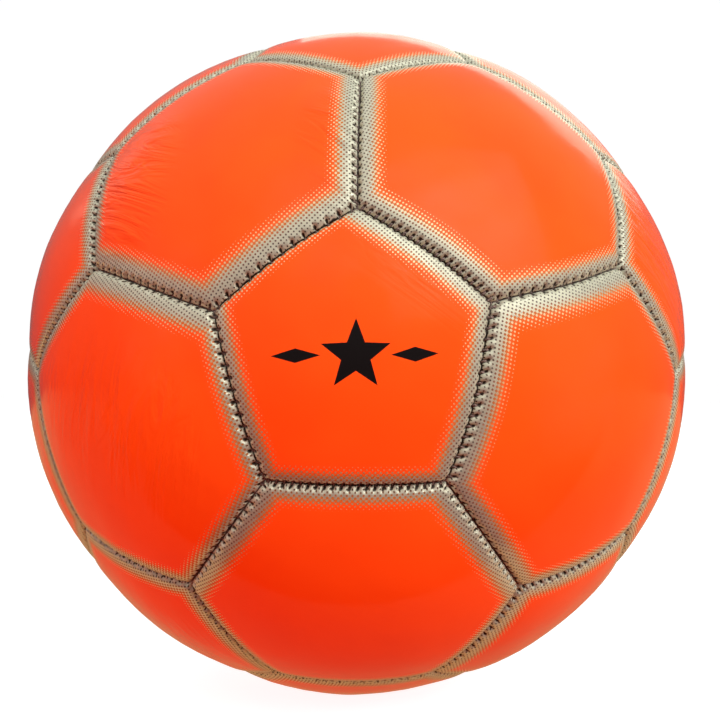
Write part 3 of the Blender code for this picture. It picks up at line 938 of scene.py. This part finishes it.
def cover_material(name, marked):
    """The printed, glossy film: its ink and silver, painted shade at the seams, grooves and needle
    holes, wrinkles and grain.
    """
    n = Nodes(name)
    sheet = n.attribute("sheet_mm", "Vector")
    border = n.attribute("border_mm")
    seam = n.attribute("seam_mm")
    groove = n.attribute("groove")
    place = n.place()

    screen = dot_screen(n, sheet)
    tiny = n.ramp(border, 0.2, 1.6, 0.17, 0.22, "LINEAR")
    growing = n.ramp(border, 1.6, 3.8, 0.0, 0.15, "LINEAR")
    fading = n.ramp(border, 3.3, BORDER, 0.0, 0.66, "LINEAR")
    threshold = n.math("ADD", n.math("ADD", tiny, growing), fading)
    silver_share = n.ramp(n.math("SUBTRACT", screen, threshold), -0.045, 0.045)

    mottle = n.noise(place, 26.0, 3.0)
    orange = n.mix(n.ramp(mottle, 0.35, 0.65), DEEP_ORANGE, ORANGE)
    ink = n.mix(n.ramp(border, 2.0, 4.2), DARK_INK, RED_INK)
    ink = n.mix(n.ramp(border, 3.8, 6.2), ink, orange)
    dirt = n.noise(place, 700.0, 4.0, 0.6)
    silver = n.mix(n.ramp(dirt, 0.3, 0.7), DARK_SILVER, SILVER)
    silver = n.mix(n.ramp(border, 3.0, 6.0), silver, THIN_SILVER)
    colour = n.mix(silver_share, ink, silver)
    if marked:
        right, up, _ = n.split(sheet)
        lozenges_inked = lozenges(n, right, up, *MARK_LOZENGES)
        inked = n.math("MAXIMUM", star(n, right, up, *MARK_STAR), lozenges_inked)
        colour = n.mix(inked, colour, BLACK_INK)
    # Painted shade: the seams' valleys, the stitches' grooves and needle holes, and a band beside each
    # seam are darkened towards near-black brown, broken up by noise.
    shade_noise = n.math("SUBTRACT", n.noise(place, 420.0, 3.0, 0.6), 0.5)
    in_groove = n.ramp(n.math("MULTIPLY_ADD", shade_noise, 0.4, groove), 0.36, 0.6)
    in_valley = n.ramp(n.math("MULTIPLY_ADD", shade_noise, 1.1, seam), 0.07, 0.36, 1.0, 0.0)
    shade = n.ramp(seam, 0.2, 1.4, 0.22, 0.0)
    painted_shade = n.math("MAXIMUM", n.math("MAXIMUM", in_groove, in_valley), shade)
    colour = n.mix(n.math("MULTIPLY", painted_shade, 0.97), colour, SEAM_SHADE)

    creases = n.noise(n.stretch(n.turn(sheet, 35), (0.03, 0.14, 0.0)), 1.0, 3.0, 0.55, 1.6)
    creased = n.ramp(n.noise(place, 12.0, 1.0), 0.44, 0.66)
    creased = n.math("MULTIPLY", creased, n.attribute("creased"))
    fine = n.noise(place, 1100.0, 2.0)
    normal = n.bump(n.math("MULTIPLY", creases, creased), 0.7, 0.005)
    normal = n.bump(n.noise(place, 70.0, 3.0), 0.1, 0.0012, normal)
    normal = n.bump(fine, 0.08, 0.0002, normal)
    roughness = n.ramp(n.noise(place, 140.0, 4.0), 0.3, 0.7, 0.11, 0.2)
    roughness = n.math("ADD", roughness, n.math("MULTIPLY", silver_share, 0.16))
    roughness = n.math("ADD", roughness, n.math("MULTIPLY", painted_shade, 0.4))
    metallic = n.math("MULTIPLY", silver_share, n.ramp(painted_shade, 0.0, 0.6, 0.68, 0.0))
    n.shader.inputs["Coat Weight"].default_value = 0.1
    n.shader.inputs["Coat Roughness"].default_value = 0.05
    n.shader.inputs["Specular IOR Level"].default_value = 0.16
    return n.finish(Base_Color=colour, Roughness=roughness, Metallic=metallic, Normal=normal)


def thread_material():
    """Two waxed plies twisted together, each with its fibres, and painted shade in the groove between
    the plies.
    """
    n = Nodes("waxed_thread")
    along, cosine, sine = n.split(n.attribute("strand", "Vector"))
    turn = n.math("MULTIPLY", along, 2 * math.pi / PLY_TWIST)
    wave = n.math("MULTIPLY", cosine, n.math("SINE", turn))
    wave = n.math("MULTIPLY_ADD", sine, n.math("COSINE", turn), wave)
    ply = n.ramp(n.math("ABSOLUTE", wave), 0.0, 0.6)
    place = n.place()
    fibres = n.noise(place, 2600.0, 3.0, 0.6)
    # painted shade: the groove between the plies is coloured near-black
    colour = n.mix(ply, PLY_GAP_SHADE, n.mix(n.ramp(fibres, 0.35, 0.7), *WAX))
    height = n.math("ADD", ply, n.math("MULTIPLY", fibres, 0.3))
    normal = n.bump(height, 0.7, 0.0001)
    roughness = n.ramp(fibres, 0.3, 0.7, 0.42, 0.7)
    return n.finish(Base_Color=colour, Roughness=roughness, Normal=normal)


def rubber_material():
    """Matt black rubber, with dust in places."""
    n = Nodes("valve_rubber")
    place = n.place()
    grain = n.noise(place, 1500.0, 3.0, 0.6)
    dust = n.ramp(n.noise(place, 320.0, 4.0, 0.65), 0.5, 0.78)
    colour = n.mix(n.math("MULTIPLY", dust, 0.5), RUBBER, RUBBER_DUST)
    normal = n.bump(grain, 0.25, 0.0002)
    roughness = n.ramp(dust, 0, 1, 0.4, 0.75)
    return n.finish(Base_Color=colour, Roughness=roughness, Normal=normal)


def bladder_material():
    """Black latex dusted with talc."""
    n = Nodes("talced_latex")
    place = n.place()
    talc = n.ramp(n.noise(place, 38.0, 6.0, 0.68), 0.42, 0.72)
    colour = n.mix(n.math("MULTIPLY", talc, 0.4), LATEX, TALC)
    normal = n.bump(n.noise(place, 90.0, 4.0), 0.2, 0.001)
    roughness = n.ramp(talc, 0, 1, 0.38, 0.8)
    return n.finish(Base_Color=colour, Roughness=roughness, Normal=normal)


def cloth_material():
    """Plain weave cotton, with stains: threads that pass over and under each other, and painted shade
    where they dip.
    """
    n = Nodes("patch_cloth")
    place = n.place()
    axes = n.split(place)
    waves = [n.math("SINE", n.math("MULTIPLY", axes[i], 2 * math.pi / WEAVE)) for i in (0, 2)]
    height = n.math("MULTIPLY_ADD", n.math("MULTIPLY", *waves), 0.5, 0.5)
    stain = n.noise(place, 60.0, 4.0)
    colour = n.mix(n.ramp(stain, 0.3, 0.7), *COTTON)
    # painted shade: low places of the weave are darkened
    colour = n.mix(n.ramp(height, 0.0, 0.6, 0.5, 0.0), colour, WEAVE_GAP_SHADE)
    normal = n.bump(height, 0.6, 0.0002)
    return n.finish(Base_Color=colour, Roughness=n.ramp(height, 0, 1, 0.95, 0.8), Normal=normal)


def look_at_cad_node(node, look):
    """Gives a CAD node that keeps its shape this material."""
    obj = bpy.data.objects[node]
    for slot in obj.material_slots:
        slot.material = look
    if not obj.material_slots:
        obj.data.materials.append(look)


# ---- Stage, light and camera --------------------------------------------------------------


WHITE = (1.0, 1.0, 1.0)
FLOOR = (-5.0, 5.0, -5.0, 5.0)  # lowest and highest x, then y, in metres
WALL_RADIUS = 4.0
WALL_TOP = 5.0
WALL_SIDES = 64
TABLE = (-1.5, 1.5, -0.097, 1.2)
TABLE_LIFT = 0.0005
TABLE_GLOW = (1.0, 0.66, 0.3)


def rectangle(low_x, high_x, low_y, high_y, z):
    return [(low_x, low_y, z), (high_x, low_y, z), (high_x, high_y, z), (low_x, high_y, z)]


def make_stage():
    """A white floor and wall, and the table that the glossy film reflects from below."""
    floor_z = cad_box[0][2]
    floor_look = Nodes("white_floor").finish(
        Base_Color=(0.4, 0.4, 0.4),
        Roughness=0.9,
        Specular_IOR_Level=0.0,
        Emission_Color=WHITE,
        Emission_Strength=0.9,
    )
    add_light_surface("floor", rectangle(*FLOOR, floor_z), [(0, 1, 2, 3)], floor_look)

    black = (0.0, 0.0, 0.0)
    wall_look = Nodes("white_wall").finish(
        Base_Color=black,
        Emission_Color=WHITE,
        Emission_Strength=1.0,
    )
    turns = [2 * math.pi * i / WALL_SIDES for i in range(WALL_SIDES)]
    around = [(WALL_RADIUS * math.cos(a), WALL_RADIUS * math.sin(a)) for a in turns]
    verts = [(x, y, z) for z in (floor_z, WALL_TOP) for x, y in around]
    pairs = [(i, (i + 1) % WALL_SIDES) for i in range(WALL_SIDES)]
    faces = [(i, j, j + WALL_SIDES, i + WALL_SIDES) for i, j in pairs]
    wall = add_light_surface("wall", verts, faces, wall_look)
    wall.visible_shadow = False

    table_look = Nodes("table_glow").finish(
        Base_Color=black,
        Emission_Color=TABLE_GLOW,
        Emission_Strength=0.46,
    )
    verts = rectangle(*TABLE, floor_z + TABLE_LIFT)
    table = add_light_surface("table", verts, [(0, 1, 2, 3)], table_look, in_view=False)
    table.visible_shadow = False


def add_light_surface(name, verts, faces, look, in_view=True):
    """A surface for the camera, or only for reflections. Neither lights the ball."""
    data = bpy.data.meshes.new(name)
    data.from_pydata(verts, [], faces)
    data.materials.append(look)
    data.shade_smooth()
    obj = bpy.data.objects.new(name, data)
    bpy.context.scene.collection.objects.link(obj)
    obj.visible_diffuse = False
    obj.visible_camera = in_view
    obj.visible_glossy = not in_view
    return obj


def add_area_light(name, place, size, power, colour=WHITE, in_gloss=False, aim=(0, 0, 0)):
    """A rectangular light that points at the ball, in metres and watts."""
    data = bpy.data.lights.new(name, "AREA")
    data.shape = "RECTANGLE"
    data.size, data.size_y = size
    data.energy = power
    data.color = colour
    obj = bpy.data.objects.new(name, data)
    obj.location = place
    obj.rotation_euler = (Vector(aim) - Vector(place)).to_track_quat("-Z", "Y").to_euler()
    obj.visible_glossy = in_gloss
    bpy.context.scene.collection.objects.link(obj)


SKY = {"From Min": -0.3, "From Max": 0.9, "To Min": 0.0, "To Max": 0.45}
WARM = (1.0, 0.09, 0.03)


def make_lights():
    """A sky that is dark below, soft studio lights, and the warm light off the table."""
    world = bpy.data.worlds.new("studio")
    bpy.context.scene.world = world
    world.use_nodes = True
    tree = world.node_tree
    height = tree.nodes.new("ShaderNodeSeparateXYZ")
    sky = tree.nodes.new("ShaderNodeMapRange")
    for name, value in SKY.items():
        sky.inputs[name].default_value = value
    tree.links.new(tree.nodes.new("ShaderNodeTexCoord").outputs["Generated"], height.inputs[0])
    tree.links.new(height.outputs["Z"], sky.inputs["Value"])
    tree.links.new(sky.outputs["Result"], tree.nodes["Background"].inputs["Strength"])
    tree.nodes["Background"].inputs["Color"].default_value = (1, 0.99, 0.97, 1)

    add_area_light("key", (1.1, -1.15, 1.2), (1.2, 1.2), 44)
    add_area_light("key_sheen", (1.0, -1.25, 1.3), (2.0, 2.0), 7, in_gloss=True)
    add_area_light("front_fill", (0.0, -1.4, 1.4), (1.6, 1.2), 13)
    add_area_light("left_fill", (-1.4, -0.7, 0.4), (0.8, 0.8), 3.5)
    add_area_light("right_fill", (1.3, -0.4, -0.08), (0.8, 0.8), 5)
    add_area_light("rear_fill", (-0.4, 1.6, 1.2), (1.6, 1.6), 24)
    add_area_light("warm_bounce", (-0.15, -0.35, -0.1085), (1.2, 0.9), 3.0, WARM, aim=(-0.15, -0.35, 1))
    add_area_light("warm_left", (-1.3, -0.3, -0.05), (0.8, 0.8), 6, WARM)
    add_area_light("rim_softbox", (0.55, 1.5, 1.1), (1.6, 0.8), 5, (1.0, 0.88, 0.76), in_gloss=True)
    add_area_light("left_strip", (-1.2, 0.9, 0.9), (0.25, 0.5), 0.2, (1.0, 0.8, 0.6), in_gloss=True)


# The view: how far the camera is from the ball's middle, and the turns of the ball before it.
CAMERA_DISTANCE = 0.3067
CAMERA_TURNS = {"X": -1.0, "Y": 0.41, "Z": -0.07}
CAMERA_SHIFT = (0.0045, 0.0046)
LENS = 43.1
SENSOR = 36


def make_camera():
    """A camera that looks along +Y at the ball."""
    data = bpy.data.cameras.new("camera")
    data.sensor_width = SENSOR
    data.lens = LENS
    data.shift_x, data.shift_y = CAMERA_SHIFT
    obj = bpy.data.objects.new("camera", data)
    turned_ball = Matrix.Identity(4)
    for axis, degrees in CAMERA_TURNS.items():
        turned_ball = turned_ball @ Matrix.Rotation(math.radians(degrees), 4, axis)
    place = Matrix.Translation((0, -CAMERA_DISTANCE, 0)) @ Matrix.Rotation(math.pi / 2, 4, "X")
    obj.matrix_world = turned_ball.inverted() @ place
    bpy.context.scene.collection.objects.link(obj)
    bpy.context.scene.camera = obj
    bpy.context.scene.view_settings.view_transform = "Standard"


# ---- The ball -----------------------------------------------------------------------------


def main():
    panels, seams = named_panels()
    cover = cover_material("cover", marked=False)
    marked_cover = cover_material("marked_cover", marked=True)
    for name, panel in panels.items():
        lay_out_print(name, panel)
    set_printed_seams(panels["printed_panel"])
    for name, panel in panels.items():
        make_panel(name, panel, marked_cover if name == "printed_panel" else cover)
    make_threads(seams, thread_material())
    make_valve(rubber_material())
    look_at_cad_node("bladder", bladder_material())
    look_at_cad_node("valve_patch", cloth_material())
    make_stage()
    make_lights()
    make_camera()


main()
